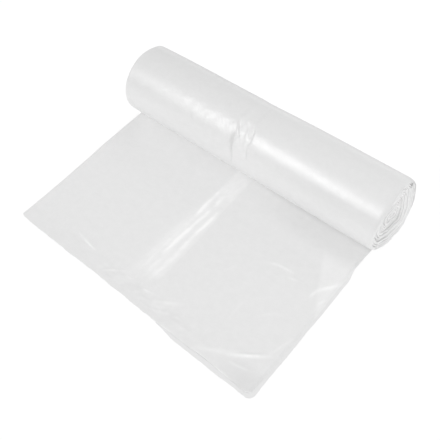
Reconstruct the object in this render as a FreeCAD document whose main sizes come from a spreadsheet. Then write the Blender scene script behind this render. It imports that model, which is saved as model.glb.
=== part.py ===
# A coreless roll of clear polythene bin bags, lying on its side with its first bag unrolled in front.
#
# The bags are one long gusseted tube of film. Pressed flat, the tube is four plies thick on its left
# and right and two plies thick in a narrow band along its middle, between the folds of its gussets.
# This flat web is wound on itself from a small eye outwards, tight in the middle of the roll's length
# and a little loose at its ends. The last turn passes under the roll and runs out forwards over the
# floor as the leaf, which ends in a heat seal and a torn, wavy edge.
#
# Frame: +X along the roll to the right, +Y to the back, +Z up. The origin lies on the floor under the
# middle of the roll's length, straight below its axis. Millimetres.
import FreeCAD, Part
import math
import os

import Sketcher
from FreeCAD import Vector

SIZES = [
    ("film_width", 300.0, "width of the flat web, from side fold to side fold"),
    ("web_thickness", 1.25, "the leaf's four plies and the air between them, as one wall"),
    ("turn_thickness", 2.3, "a bundle of wound film, as one turn's wall"),
    ("turn_gap", 0.55, "gap between one turn and the next at the roll's ends"),
    ("turns", 12, "number of turns that the ends show"),
    ("eye_radius", 2.0, "half the height of the eye that the first turn leaves"),
    ("flat_spot", 2.0, "straight run at the bottom and top of each turn, where the soft roll sags"),
    ("outer_drift", 0.8, "how far right of the leaf the outermost turn lies"),
    ("wound_drift", 4.4, "how far right of the leaf the turns inside it lie, on average"),
    ("wander", 1.6, "how far a turn strays from that, to either side"),
    ("wander_step", 77.0, "degrees of wander from one turn to the next"),
    ("open_left", 6.5, "how far in from the outermost turn's left end the turns stand apart"),
    ("open_right", 1.0, "how far in from its right end they stand apart"),
    ("band_left", 8.5, "from the middle of the web to the left edge of its two-ply band"),
    ("band_right", 12.0, "from the middle of the web to the right edge of its two-ply band"),
    ("band_thickness", 0.65, "two plies and the air between them, as one wall"),
    ("side_round", 0.5, "how far the side folds of the leaf bulge"),
    ("leaf_length", 200.5, "from the axis of the roll to the leaf's longest point"),
    ("leaf_start", 16.0, "how far ahead of the axis the leaf leaves the last turn"),
    ("edge_skew", 4.5, "how much shorter the leaf is at its left corner than at its right"),
    ("edge_wave", 0.8, "depth of the waves along the torn edge"),
    ("edge_waves", 10, "number of those waves, hollows and swells together"),
    ("corner_cut", 2.5, "worn corner of the torn edge, at the right"),
    ("trim_margin", 6.0, "how far the shape that trims the torn edge reaches past the leaf"),
    ("gusset_fold_width", 2.4, "width of the soft fold where a gusset ends"),
    ("gusset_fold_top", 1.8, "height of that fold above the floor"),
    ("slack_width", 7.0, "width of the slack ridge along the middle of the band"),
    ("slack_top", 1.2, "height of that ridge above the floor"),
    ("slack_place", 3.5, "from the middle of the web to the top of that ridge"),
    ("ridge_end", 34.0, "distance from the torn edge at which folds and ridge die out"),
    ("seal_setback", 20.0, "from the torn edge to the heat seal"),
    ("seal_width", 2.4, "width of the heat seal"),
    ("seal_thickness", 0.8, "thickness of the welded plies"),
    ("ply_thickness", 0.35, "thickness of the lowest ply where it slips out alone"),
    ("ply_slip_side", 3.0, "how far the lowest ply slips out at the right side"),
    ("ply_slip_front", 3.0, "how far the lowest ply slips out at the torn edge"),
    ("ply_start", 40.0, "from the middle of the web to where it slips out of the torn edge"),
    ("ply_hidden", 5.0, "how far the slipped ply reaches in under the leaf"),
]

doc = FreeCAD.newDocument("BinBagRoll")
sheet = doc.addObject("Spreadsheet::Sheet", "Sizes")
for row, (alias, value, note) in enumerate(SIZES, start=1):
    sheet.set(f"A{row}", alias)
    sheet.set(f"B{row}", str(value))
    sheet.set(f"C{row}", note)
    sheet.setAlias(f"B{row}", alias)
doc.recompute()

body = doc.addObject("PartDesign::Body", "bin_bag_roll")
body.Label = "bin_bag_roll"

ROOT = -1
START, END, CENTRE = 1, 2, 3
UP = Vector(0, 0, 1)
PITCH = "(Sizes.turn_thickness + Sizes.turn_gap)"
AXIS_HEIGHT = f"(Sizes.eye_radius + Sizes.turns * {PITCH})"
HALF_WIDTH = "Sizes.film_width / 2"


def value_of(expression):
    """What an expression on the sheet's cells comes to."""
    return float(sheet.evalExpression(str(expression).replace("Sizes.", "")))


def new_sketch(name, plane, offset):
    """An empty sketch parallel to one of the body's origin planes, moved along that plane's normal."""
    sketch = body.newObject("Sketcher::SketchObject", name)
    origin_plane = next(f for f in body.Origin.OriginFeatures if f.Role == plane)
    sketch.AttachmentSupport = [(origin_plane, "")]
    sketch.MapMode = "FlatFace"
    sketch.setExpression("AttachmentOffset.Base.z", offset)
    return sketch


def bind(sketch, kind, *places, to):
    """A constraint whose value is an expression on the sheet's cells."""
    index = sketch.addConstraint(Sketcher.Constraint(kind, *places, value_of(to)))
    sketch.setExpression(f"Constraints[{index}]", to)


def place_along(sketch, kind, edge, point, expression):
    """Binds one coordinate of a point, with the distance measured the way round that is positive."""
    if value_of(expression) < 0:
        bind(sketch, kind, edge, point, ROOT, START, to=f"-({expression})")
    else:
        bind(sketch, kind, ROOT, START, edge, point, to=expression)


def place(sketch, edge, point, across, up):
    """Binds both coordinates of a point."""
    place_along(sketch, "DistanceX", edge, point, across)
    place_along(sketch, "DistanceY", edge, point, up)


def join_round(sketch, chain):
    """Joins the end of each edge to the start of the next, all round. An edge is (index, start, end)."""
    for (edge, _, end), (following, start, _) in zip(chain, chain[1:] + chain[:1]):
        sketch.addConstraint(Sketcher.Constraint("Coincident", edge, end, following, start))


def bulging_arc(start, end, rise):
    """The arc from start to end that stands off its chord by rise, to the right of the way it goes."""
    chord = end - start
    radius = (chord.Length ** 2 / 4 + rise ** 2) / (2 * abs(rise))
    left = Vector(-chord.y, chord.x, 0).normalize()
    side = math.copysign(1, rise)
    centre = (start + end) / 2 + left * side * (radius - abs(rise))
    first, last = (start, end) if rise > 0 else (end, start)
    angles = [math.atan2(p.y - centre.y, p.x - centre.x) for p in (first, last)]
    return Part.ArcOfCircle(Part.Circle(centre, UP, radius), *angles)


def outline(name, plane, offset, corners):
    """A closed sketch through corners, given anticlockwise as (across, along, rise) expressions. The
    edge that leaves a corner is straight where its rise is None, and else an arc that bulges by it."""
    sketch = new_sketch(name, plane, offset)
    points = [Vector(value_of(across), value_of(along), 0) for across, along, _ in corners]
    chain = []
    for index, (_, _, rise) in enumerate(corners):
        start, end = points[index], points[(index + 1) % len(points)]
        if rise is None:
            edge = sketch.addGeometry(Part.LineSegment(start, end), False)
            chain.append((edge, START, END))
        else:
            edge = sketch.addGeometry(bulging_arc(start, end, value_of(rise)), False)
            chain.append((edge, START, END) if value_of(rise) > 0 else (edge, END, START))
    join_round(sketch, chain)
    for (edge, start, _), corner, following in zip(chain, corners, corners[1:] + corners[:1]):
        across, along, rise = corner
        place(sketch, edge, start, across, along)
        if rise is not None:
            chord = f"(({following[0]} - ({across}))^2 + ({following[1]} - ({along}))^2)"
            bind(sketch, "Radius", edge, to=f"({chord} / 4 + ({rise})^2) / (2 * abs({rise}))")
    return sketch


def feature(kind, name, profile, length, reversed_way=False):
    """A Pad or Pocket of a sketch, as long as an expression says."""
    made = body.newObject(f"PartDesign::{kind}", name)
    made.Profile = profile
    made.Reversed = reversed_way
    made.Refine = False
    made.setExpression("Length", length)
    return made


def across_roll(kind, name, profile, right, left):
    """A Pad or Pocket of a section of the roll, to the right and to the left of the web's middle."""
    made = feature(kind, name, profile, right)
    made.SideType = "Two sides"
    made.setExpression("Length2", left)
    return made


def wound_section(name, turn, outwards, inwards, start):
    """A strip that follows the outer face of one turn, from outwards of it to inwards of it: along the
    bottom from start, up the back, over the top and down the front to where the next turn begins.

    The front arc's centre is half a pitch above the back arc's, so the strip ends one pitch above where
    it began, on the start of the next turn. Turn 0 is the outermost. All but turn are expressions."""
    sketch = new_sketch(name, "YZ_Plane", "0 mm")
    back_radius = f"(Sizes.eye_radius + (Sizes.turns - {turn}) * {PITCH})"
    front_radius = f"({back_radius} - {PITCH} / 2)"
    half_flat = "Sizes.flat_spot / 2"
    shift, axis_height = value_of(half_flat), value_of(AXIS_HEIGHT)
    back_centre = Vector(shift, axis_height, 0)
    front_centre = Vector(-shift, axis_height + value_of(PITCH) / 2, 0)
    outer_back = value_of(f"{back_radius} + {outwards}")
    inner_back = value_of(f"{back_radius} - {inwards}")
    outer_front = value_of(f"{front_radius} + {outwards}")
    inner_front = value_of(f"{front_radius} - {inwards}")
    quarter = math.pi / 2

    def half_ring(centre, radius, first):
        return Part.ArcOfCircle(Part.Circle(centre, UP, radius), first, first + math.pi)

    def line(across0, up0, across1, up1):
        return Part.LineSegment(Vector(across0, up0, 0), Vector(across1, up1, 0))

    begin = value_of(start)
    sketch.addGeometry([
        line(begin, axis_height - outer_back, shift, axis_height - outer_back),
        half_ring(back_centre, outer_back, -quarter),
        line(shift, axis_height + outer_back, -shift, axis_height + outer_back),
        half_ring(front_centre, outer_front, quarter),
        line(-shift, front_centre.y - outer_front, -shift, front_centre.y - inner_front),
        half_ring(front_centre, inner_front, quarter),
        line(-shift, axis_height + inner_back, shift, axis_height + inner_back),
        half_ring(back_centre, inner_back, -quarter),
        line(shift, axis_height - inner_back, begin, axis_height - inner_back),
        line(begin, axis_height - inner_back, begin, axis_height - outer_back),
    ], False)
    run, back_outer, lid, front_outer, close, front_inner, lid_inner, back_inner, run_inner, butt = range(10)
    arcs = (back_outer, front_outer, front_inner, back_inner)
    backwards = (front_inner, back_inner)
    join_round(sketch, [(e, END, START) if e in backwards else (e, START, END) for e in range(10)])
    for arc in arcs:
        for point in (START, END):
            sketch.addConstraint(Sketcher.Constraint("Vertical", arc, CENTRE, arc, point))
    for outer, inner in ((back_outer, back_inner), (front_outer, front_inner)):
        sketch.addConstraint(Sketcher.Constraint("Coincident", outer, CENTRE, inner, CENTRE))
    for level in (run, run_inner):
        sketch.addConstraint(Sketcher.Constraint("Horizontal", level))
    sketch.addConstraint(Sketcher.Constraint("Vertical", butt))
    place(sketch, back_outer, CENTRE, half_flat, AXIS_HEIGHT)
    place(sketch, front_outer, CENTRE, f"-{half_flat}", f"{AXIS_HEIGHT} + {PITCH} / 2")
    bind(sketch, "Radius", back_outer, to=f"{back_radius} + {outwards}")
    bind(sketch, "Radius", back_inner, to=f"{back_radius} - {inwards}")
    bind(sketch, "Radius", front_outer, to=f"{front_radius} + {outwards}")
    bind(sketch, "Radius", front_inner, to=f"{front_radius} - {inwards}")
    place_along(sketch, "DistanceX", butt, END, start)
    return sketch


def wind_turns():
    """Every turn is the full width of the film, and lies a little to the right or left of the last."""
    for turn in range(round(sheet.turns)):
        if turn == 0:
            start, drift = "-Sizes.leaf_start", "Sizes.outer_drift"
        else:
            start = "-Sizes.flat_spot / 2"
            drift = f"(Sizes.wound_drift + Sizes.wander * sin({turn} * Sizes.wander_step * 1 deg))"
        profile = wound_section(f"TurnSection{turn}", turn, "0", "Sizes.turn_thickness", start)
        across_roll("Pad", f"Turn{turn}", profile, f"{HALF_WIDTH} + {drift}", f"{HALF_WIDTH} - {drift}")


def tighten_middle():
    """Away from its ends the roll is wound tight, so inside the last turn it is one drum. The outline
    runs along the middle of that turn's wall, in quarter arcs about its two centres."""
    half_flat = "Sizes.flat_spot / 2"
    back_radius = f"({AXIS_HEIGHT} - Sizes.turn_thickness / 2)"
    front_radius = f"({back_radius} - {PITCH} / 2)"
    back_rise = f"{back_radius} * (1 - cos(45 deg))"
    front_rise = f"{front_radius} * (1 - cos(45 deg))"
    low, high = "Sizes.turn_thickness / 2", f"{AXIS_HEIGHT} + {back_radius}"
    section = outline("DrumSection", "YZ_Plane", "0 mm", [
        (f"-{half_flat}", low, None),
        (half_flat, low, back_rise),
        (f"{half_flat} + {back_radius}", AXIS_HEIGHT, back_rise),
        (half_flat, high, None),
        (f"-{half_flat}", high, front_rise),
        (f"-{half_flat} - {front_radius}", f"{AXIS_HEIGHT} + {PITCH} / 2", front_rise),
        (f"-{half_flat}", f"{low} + {PITCH}", None),
    ])
    right = f"{HALF_WIDTH} + Sizes.outer_drift - Sizes.open_right"
    left = f"{HALF_WIDTH} - Sizes.outer_drift - Sizes.open_left"
    across_roll("Pad", "Drum", section, right, left)


def sink_wound_band():
    """Where the last turn is two plies, its face lies lower than on either side."""
    depth = "(Sizes.web_thickness - Sizes.band_thickness)"
    start = "Sizes.flat_spot / 2 - Sizes.turn_gap"
    profile = wound_section("WoundBandSection", 0, "Sizes.turn_gap / 2", depth, start)
    across_roll("Pocket", "WoundBand", profile, "Sizes.band_right", "Sizes.band_left")


def lay_leaf():
    """The leaf's section, with a soft fold at each side and the thin band sunk into its upper face."""
    low, high = "0", "Sizes.web_thickness"
    side = f"({HALF_WIDTH} - Sizes.side_round)"
    section = outline("LeafSection", "XZ_Plane", "Sizes.leaf_start", [
        (f"-{side}", low, None),
        (side, low, "Sizes.side_round"),
        (side, high, None),
        ("Sizes.band_right", high, None),
        ("Sizes.band_right", "Sizes.band_thickness", None),
        ("-Sizes.band_left", "Sizes.band_thickness", None),
        ("-Sizes.band_left", high, None),
        (f"-{side}", high, "Sizes.side_round"),
    ])
    feature("Pad", "Leaf", section, "Sizes.leaf_length + Sizes.edge_wave - Sizes.leaf_start")


def raise_ridge(name, middle, width, top):
    """A low ridge along the leaf, round on top, from the last turn to just behind the heat seal."""
    root = "Sizes.band_thickness / 2"
    foot = "Sizes.band_thickness"
    section = outline(f"{name}Section", "XZ_Plane", "Sizes.leaf_start", [
        (f"{middle} - {width} / 2", root, None),
        (f"{middle} + {width} / 2", root, None),
        (f"{middle} + {width} / 2", foot, f"{top} - {foot}"),
        (f"{middle} - {width} / 2", foot, None),
    ])
    feature("Pad", name, section, "Sizes.leaf_length - Sizes.ridge_end - Sizes.leaf_start")


def slip_lowest_ply():
    """The lowest ply has slid to the right, so it shows alone beyond the right side and torn edge."""
    inner_side = f"({HALF_WIDTH} - Sizes.ply_hidden)"
    inner_front = "-(Sizes.leaf_length - Sizes.ply_hidden)"
    outer_side = f"({HALF_WIDTH} + Sizes.ply_slip_side)"
    outer_front = "-(Sizes.leaf_length + Sizes.ply_slip_front)"
    shape = outline("SlippedPlyShape", "XY_Plane", "0 mm", [
        ("Sizes.ply_start", inner_front, None),
        ("Sizes.ply_start + Sizes.ply_hidden + Sizes.ply_slip_front", outer_front, None),
        (f"{outer_side} - Sizes.corner_cut", outer_front, None),
        (outer_side, f"{outer_front} + Sizes.corner_cut", None),
        (f"({HALF_WIDTH} - Sizes.side_round)", "-Sizes.leaf_start", None),
        (inner_side, "-Sizes.leaf_start", None),
        (inner_side, inner_front, None),
    ])
    feature("Pad", "SlippedPly", shape, "Sizes.ply_thickness")


def tear_edge():
    """The leaf is trimmed to its torn edge, which leans a little and waves to and fro."""
    waves = round(sheet.edge_waves)
    far = "-Sizes.leaf_length - Sizes.trim_margin"
    beyond_left = f"-{HALF_WIDTH} - Sizes.trim_margin"
    beyond_right = f"{HALF_WIDTH} + Sizes.trim_margin"
    left_corner = "-Sizes.leaf_length + Sizes.edge_skew"
    corners = [
        (beyond_left, far, None),
        (beyond_right, far, None),
        (beyond_right, "-Sizes.leaf_length + Sizes.corner_cut + Sizes.trim_margin", None),
    ]
    for wave in range(waves, -1, -1):
        across = f"-{HALF_WIDTH} + {wave} * (Sizes.film_width - Sizes.corner_cut) / {waves}"
        along = f"-Sizes.leaf_length + Sizes.edge_skew * (1 - {wave} / {waves})"
        rise = "Sizes.edge_wave / 2" if wave % 2 else "-Sizes.edge_wave / 2"
        corners.append((across, along, rise if wave else None))
    corners.append((beyond_left, left_corner, None))
    shape = outline("TornEdgeShape", "XY_Plane", "0 mm", corners)
    feature("Pocket", "TornEdge", shape, "Sizes.trim_margin", reversed_way=True)


def weld_seal():
    """The heat seal closes the bag's bottom: the plies are welded in a thin line across the leaf."""
    left_far = "-Sizes.leaf_length + Sizes.edge_skew + Sizes.seal_setback"
    right_far = "-Sizes.leaf_length + Sizes.seal_setback"
    shape = outline("SealShape", "XY_Plane", "Sizes.web_thickness", [
        (f"-{HALF_WIDTH} - Sizes.trim_margin", left_far, None),
        (f"{HALF_WIDTH} + Sizes.trim_margin", right_far, None),
        (f"{HALF_WIDTH} + Sizes.trim_margin", f"{right_far} + Sizes.seal_width", None),
        (f"-{HALF_WIDTH} - Sizes.trim_margin", f"{left_far} + Sizes.seal_width", None),
    ])
    feature("Pocket", "Seal", shape, "Sizes.web_thickness - Sizes.seal_thickness")


wind_turns()
tighten_middle()
sink_wound_band()
lay_leaf()
raise_ridge("LeftGussetFold", "(Sizes.gusset_fold_width / 2 - Sizes.band_left)",
            "Sizes.gusset_fold_width", "Sizes.gusset_fold_top")
raise_ridge("RightGussetFold", "(Sizes.band_right - Sizes.gusset_fold_width / 2)",
            "Sizes.gusset_fold_width", "Sizes.gusset_fold_top")
raise_ridge("SlackRidge", "Sizes.slack_place", "Sizes.slack_width", "Sizes.slack_top")
tear_edge()
slip_lowest_ply()
weld_seal()
doc.recompute()

for made in doc.Objects:
    if "Invalid" in made.State or "Error" in made.State:
        raise RuntimeError(f"{made.Name} failed: {made.State}")
steps = [made for made in body.Group if made.isDerivedFrom("PartDesign::Feature")]
for before, made in zip(steps, steps[1:]):
    grown = made.Shape.Volume > before.Shape.Volume
    if grown != made.isDerivedFrom("PartDesign::Pad"):
        raise RuntimeError(f"{made.Name} missed the roll")
roll = body.Shape
if roll.isNull() or not roll.isValid() or len(roll.Solids) != 1:
    raise RuntimeError("the roll isn't one sound solid")
os.makedirs("parts", exist_ok=True)
roll.exportStep("parts/bin_bag_roll.step")
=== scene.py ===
import bpy
import numpy as np
from mathutils import Matrix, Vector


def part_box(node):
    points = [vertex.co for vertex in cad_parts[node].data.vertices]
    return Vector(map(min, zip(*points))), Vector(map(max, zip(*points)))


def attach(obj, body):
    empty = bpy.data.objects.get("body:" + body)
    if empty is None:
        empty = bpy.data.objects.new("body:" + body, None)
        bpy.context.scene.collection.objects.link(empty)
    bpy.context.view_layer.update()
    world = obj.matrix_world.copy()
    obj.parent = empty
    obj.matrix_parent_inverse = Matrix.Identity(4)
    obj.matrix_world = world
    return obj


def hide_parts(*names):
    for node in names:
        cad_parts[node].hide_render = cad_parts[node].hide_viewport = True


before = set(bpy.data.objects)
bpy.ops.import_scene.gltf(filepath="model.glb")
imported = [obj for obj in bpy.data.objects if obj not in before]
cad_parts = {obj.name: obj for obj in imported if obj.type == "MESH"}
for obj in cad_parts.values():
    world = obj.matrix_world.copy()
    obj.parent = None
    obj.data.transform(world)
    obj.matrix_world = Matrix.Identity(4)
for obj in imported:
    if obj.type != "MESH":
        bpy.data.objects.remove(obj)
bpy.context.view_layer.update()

# The wound turns: one gusseted tube of clear polythene film, pressed flat and wound on itself with no
# core. Bundles of turns cling together, and at both ends of the roll their folded edges show as a
# crumpled spiral. Sizes in this script are in millimetres, and the meshes turn them into metres.

METRES = 0.001
ROLL_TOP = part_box("bin_bag_roll")[1].z / METRES
ROLL_FLAT = 2.0
FLAT_EASE = 6.0
FIRST_BOTTOM = 270.0
OUTER_PITCH = 1.75
WOUND_TURNS = 20
WOUND_PITCHES = (1.0, 2.3)
WOUND_GAPS = (0.08, 0.5)
EYE_RADIUS = 1.1
STEPS_PER_TURN = 90
ROLL_LEFT_END = -148.6
ROLL_RIGHT_END = 154.2
WOUND_LEFT_INSET = 0.9
STRAY_RIGHT = (-2.2, 0.6)
STRAY_LEFT = (-0.8, 1.2)
# Swells, here and below: height in mm, lean, cell across and cell along in mm, and seed.
BEND_RIGHT = [(1.1, 0, 16, 16, 41), (0.5, 0, 5, 5, 42)]
BEND_LEFT = [(1.0, 0, 16, 16, 43), (0.4, 0, 5, 5, 44)]
WANDER_BACK = [(1.25, 0, 8.5, 8.5, 31)]
WANDER_UP = [(1.25, 0, 8.5, 8.5, 32)]
WANDER_STOPS = (22, 33)
CORE_SQUASH = 0.62
CORE_REACH = 8.5
CORE_ACROSS = (0.74, 0.67)
# The film has slid out furthest at one polar angle of the right end, and the turns near the rim most.
SLID_OUT = 4.6
SLID_POLAR = -60.0
SLID_SPREAD = 52.0
SLID_FROM = (0, 34)
# The folded edges: depths in mm from the very edge, the plies seen there, which paint a highlight on the
# very edge and shade deeper in the gaps, and how they are rounded.
EDGE_DEPTHS = np.array([0.0, 0.12, 0.4, 1.0, 3.0, 14.0])
EDGE_PLIES_AND_SHADE = np.array([1.2, 1.6, 3.0, 5.6, 8.5, 10.5])
EDGE_ROUND = 1.0
EDGE_TUCK = 0.46
BUNDLE_PLIES = (-0.4, 2.0)
BUNDLES_PER_TURN = 1.7
# Painted shade where a turn is set back.
SET_BACK_SHADE_PLIES = 0.4
FAR_BACK = 5
MOST_EDGE_PLIES = 10
# Two parts of the ends, as steps of the reach from the axis, of the way back and of the height.
LOOSE_RIM = ((24, 33), (-14, 12), (60, 30))
LOOSE_RIM_PLIES = -0.3
LOW_FRONT = ((17, 25), (0, -12), (32, 18))
LOW_FRONT_MORE = 0.4
# Painted shade in a pocket between two loose turns, near the top of the right end.
POCKET_PLACE = (29, 52)
POCKET_RADIUS = 2.2
POCKET_SHADE_PLIES = 13
UV_LENGTH = 100
SHARP_ANGLE = 50
LATTICE = (97, 89)
LATTICE_MIDDLE = 40


def smooth_step(start, end, value):
    """0 up to start, 1 from end on, and 3t^2 - 2t^3 between them; the end may be the lower one."""
    part = np.clip((value - start) / (end - start), 0, 1)
    return part * part * (3 - 2 * part)


def bell(value, centre, width):
    """1 at the centre and exp(-t^2) away from it, with t counted in widths."""
    return np.exp(-(((value - centre) / width) ** 2))


def rolling_noise(across, along, cell_across, cell_along, seed):
    """Smooth heights from -1 to 1: random values at the corners of cells, eased together inside each."""
    corners = np.random.default_rng(seed).uniform(-1, 1, LATTICE)
    column = across / cell_across + LATTICE_MIDDLE
    row = along / cell_along + LATTICE_MIDDLE
    left, near = np.floor(column).astype(int), np.floor(row).astype(int)
    ease_across = smooth_step(0, 1, column - left)
    ease_along = smooth_step(0, 1, row - near)
    left, right = left % LATTICE[0], (left + 1) % LATTICE[0]
    near, far = near % LATTICE[1], (near + 1) % LATTICE[1]
    near_side = corners[left, near] * (1 - ease_across) + corners[right, near] * ease_across
    far_side = corners[left, far] * (1 - ease_across) + corners[right, far] * ease_across
    return near_side * (1 - ease_along) + far_side * ease_along


def swells(across, along, layers):
    """Sum of layers of rolling noise: each is its height times a noise that leans as it runs along."""
    return sum(height * rolling_noise(across + lean * along, along, cell_across, cell_along, seed)
               for height, lean, cell_across, cell_along, seed in layers)


def wound_path(angle, bottoms):
    """Spiral of half circles, each from one turn's bottom to its top, drawn apart by a short flat."""
    half_turn = np.floor((angle - FIRST_BOTTOM) / 180 + 1e-6).astype(int)
    turn = half_turn // 2
    low = bottoms[turn + half_turn % 2]
    high = ROLL_TOP - bottoms[turn]
    turned = np.radians(angle)
    y = (high - low) / 2 * np.cos(turned) + ROLL_FLAT / 2 * np.tanh(FLAT_EASE * np.cos(turned))
    z = (high + low) / 2 + (high - low) / 2 * np.sin(turned)
    return y, z, np.cos(turned), np.sin(turned)


def closed_film(name, outer, inner, flat_place, plies_and_painted_light, ripple=0.0):
    """Closed shell between two grids of points: both faces, and the four edges between them.

    Columns run across the web and rows along it. flat_place is each point's place on the flat film,
    plies_and_painted_light its number of layers with painted shade and painted highlights added, and ripple
    how rippled it is, all kept on the mesh for the material.
    """
    columns, rows = outer.shape[:2]
    count = columns * rows
    index = np.arange(count).reshape(columns, rows)
    outside = np.stack([index[:-1, :-1], index[:-1, 1:], index[1:, 1:], index[1:, :-1]], axis=-1)
    outside = outside.reshape(-1, 4)
    inside = outside[:, ::-1] + count
    rim = np.concatenate([index[0, :-1], index[:-1, -1], index[-1, :0:-1], index[:0:-1, 0]])
    after = np.roll(rim, -1)
    edges = np.stack([after, rim, rim + count, after + count], axis=-1)
    faces = np.concatenate([outside, inside, edges])
    points = np.concatenate([outer.reshape(-1, 3), inner.reshape(-1, 3)]) * METRES
    mesh = bpy.data.meshes.new(name)
    mesh.vertices.add(len(points))
    mesh.vertices.foreach_set("co", points.ravel())
    mesh.loops.add(faces.size)
    mesh.loops.foreach_set("vertex_index", faces.ravel())
    mesh.polygons.add(len(faces))
    mesh.polygons.foreach_set("loop_start", np.arange(0, faces.size, 4))
    mesh.polygons.foreach_set("use_smooth", np.ones(len(faces), dtype=bool))
    mesh.update(calc_edges=True)
    layer = mesh.uv_layers.new(name="film")
    layer.data.foreach_set("uv", flat_place.reshape(-1, 2)[faces.ravel() % count].ravel() / UV_LENGTH)
    for trait, values in (("plies_and_painted_light", plies_and_painted_light), ("ripple", ripple)):
        layer = mesh.attributes.new(trait, "FLOAT", "POINT")
        layer.data.foreach_set("value", np.tile((values + np.zeros(outer.shape[:2])).ravel(), 2))
    mesh.set_sharp_from_angle(angle=np.radians(SHARP_ANGLE))
    piece = bpy.data.objects.new(name, mesh)
    bpy.context.scene.collection.objects.link(piece)
    return piece


def crumple(y, z):
    """Squash the middle of the roll along one line, and let every turn wander together round it."""
    height = z - ROLL_TOP / 2
    reach = np.hypot(y, height)
    along_squash = y * CORE_ACROSS[0] + height * CORE_ACROSS[1]
    push = CORE_SQUASH * along_squash * bell(reach, 0, CORE_REACH)
    free = 1 - smooth_step(*WANDER_STOPS, reach)
    crumpled_y = y - push * CORE_ACROSS[0] + swells(y, z, WANDER_BACK) * free
    crumpled_z = z - push * CORE_ACROSS[1] + swells(y, z, WANDER_UP) * free
    return crumpled_y, crumpled_z


def slid_out(angle):
    """How far the film has slid out of the roll's right end: a bell about one polar angle."""
    return SLID_OUT * bell((angle - SLID_POLAR + 180) % 360 - 180, 0, SLID_SPREAD)


def wound_turns():
    """Strip of film along the spiral, with rounded edges that stand in or out turn by turn.

    The edges are rounded as quarter ellipses, which take the same share of the thickness off both faces.
    The plies rise inwards from the edge, as painted shade deepening into the gaps below a painted highlight
    on the very edge, and are more where a turn is set back, as painted shade in the recess, up to a limit.
    """
    chance = np.random.default_rng(7)
    ends_of_turns = np.arange(WOUND_TURNS + 1)
    pitches = chance.uniform(*WOUND_PITCHES, WOUND_TURNS)
    pitches *= (ROLL_TOP / 2 - EYE_RADIUS - OUTER_PITCH) / pitches.sum()
    bottoms = np.concatenate([[0, OUTER_PITCH], OUTER_PITCH + np.cumsum(pitches), [ROLL_TOP / 2]])
    gaps = chance.uniform(*WOUND_GAPS, WOUND_TURNS + 1)
    angle = FIRST_BOTTOM + 360 + np.arange(WOUND_TURNS * STEPS_PER_TURN + 1) * 360 / STEPS_PER_TURN
    angle = angle[:-STEPS_PER_TURN // 2]
    turns_in = (angle - FIRST_BOTTOM) / 360 - 1
    y, z, out_y, out_z = wound_path(angle, bottoms)
    pitch = np.interp(turns_in, ends_of_turns[:-1] + 0.5, pitches)
    thickness = pitch - np.interp(turns_in, ends_of_turns, gaps)
    stray_right = np.interp(turns_in, ends_of_turns, chance.uniform(*STRAY_RIGHT, WOUND_TURNS + 1))
    stray_left = np.interp(turns_in, ends_of_turns, chance.uniform(*STRAY_LEFT, WOUND_TURNS + 1))
    bend_right = swells(y, z, BEND_RIGHT)
    reach = np.hypot(y, z - ROLL_TOP / 2)
    right = ROLL_RIGHT_END + stray_right + bend_right + slid_out(angle) * smooth_step(*SLID_FROM, reach)
    left = ROLL_LEFT_END + WOUND_LEFT_INSET + stray_left + swells(y, z, BEND_LEFT)
    x = np.concatenate([left + EDGE_DEPTHS[:, None], right - EDGE_DEPTHS[::-1, None]])
    round_part = 1 - np.clip(EDGE_DEPTHS / EDGE_ROUND, 0, 1)
    tuck = EDGE_TUCK * (1 - np.sqrt(1 - round_part**2))
    tuck = np.concatenate([tuck, tuck[::-1]])[:, None] * thickness
    outer_y, outer_z = crumple(y - tuck * out_y, z - tuck * out_z)
    drop = thickness - tuck
    inner_y, inner_z = crumple(y - drop * out_y, z - drop * out_z)
    outer = np.stack([x, outer_y, outer_z], axis=-1)
    inner = np.stack([x, inner_y, inner_z], axis=-1)
    length = np.concatenate([[0], np.cumsum(np.hypot(np.diff(y), np.diff(z)))])
    flat_place = np.stack([x, np.broadcast_to(length, x.shape)], axis=-1)
    bundles = np.arange(2 * WOUND_TURNS)
    bundled = np.interp(turns_in * BUNDLES_PER_TURN, bundles, chance.uniform(*BUNDLE_PLIES, len(bundles)))
    set_back = np.stack([left - ROLL_LEFT_END, -stray_right - bend_right])[:, None]
    plies_and_painted_light = np.stack([EDGE_PLIES_AND_SHADE, EDGE_PLIES_AND_SHADE[::-1]])[:, :, None]
    # Painted shade deepens into the gaps and where a turn is set back; the very edge gets a painted
    # highlight.
    plies_and_painted_light = np.concatenate(plies_and_painted_light + SET_BACK_SHADE_PLIES * np.clip(set_back, 0, FAR_BACK) + bundled)
    loose_rim, low_front = (smooth_step(*away, reach) * smooth_step(*back, y) * smooth_step(*down, z)
                            for away, back, down in (LOOSE_RIM, LOW_FRONT))
    plies_and_painted_light = np.minimum(plies_and_painted_light + LOOSE_RIM_PLIES * loose_rim, MOST_EDGE_PLIES)
    # Painted shade in the pocket between two loose turns.
    pocket_shade = bell(np.hypot(y - POCKET_PLACE[0], z - POCKET_PLACE[1]), 0, POCKET_RADIUS)
    plies_and_painted_light[len(EDGE_DEPTHS):] *= 1 + LOW_FRONT_MORE * low_front
    plies_and_painted_light[len(EDGE_DEPTHS):] += POCKET_SHADE_PLIES * pocket_shade
    return closed_film("wound_turns", outer, inner, flat_place, plies_and_painted_light), length[-1]


def worked_out(tree, operation, *terms):
    """Math node of a node tree: each term is a link's output, or a number for the node's own socket."""
    node = tree.nodes.new("ShaderNodeMath")
    node.operation = operation
    for term, socket in zip(terms, node.inputs):
        if isinstance(term, bpy.types.NodeSocket):
            tree.links.new(term, socket)
        else:
            socket.default_value = term
    return node.outputs["Value"]


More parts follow.
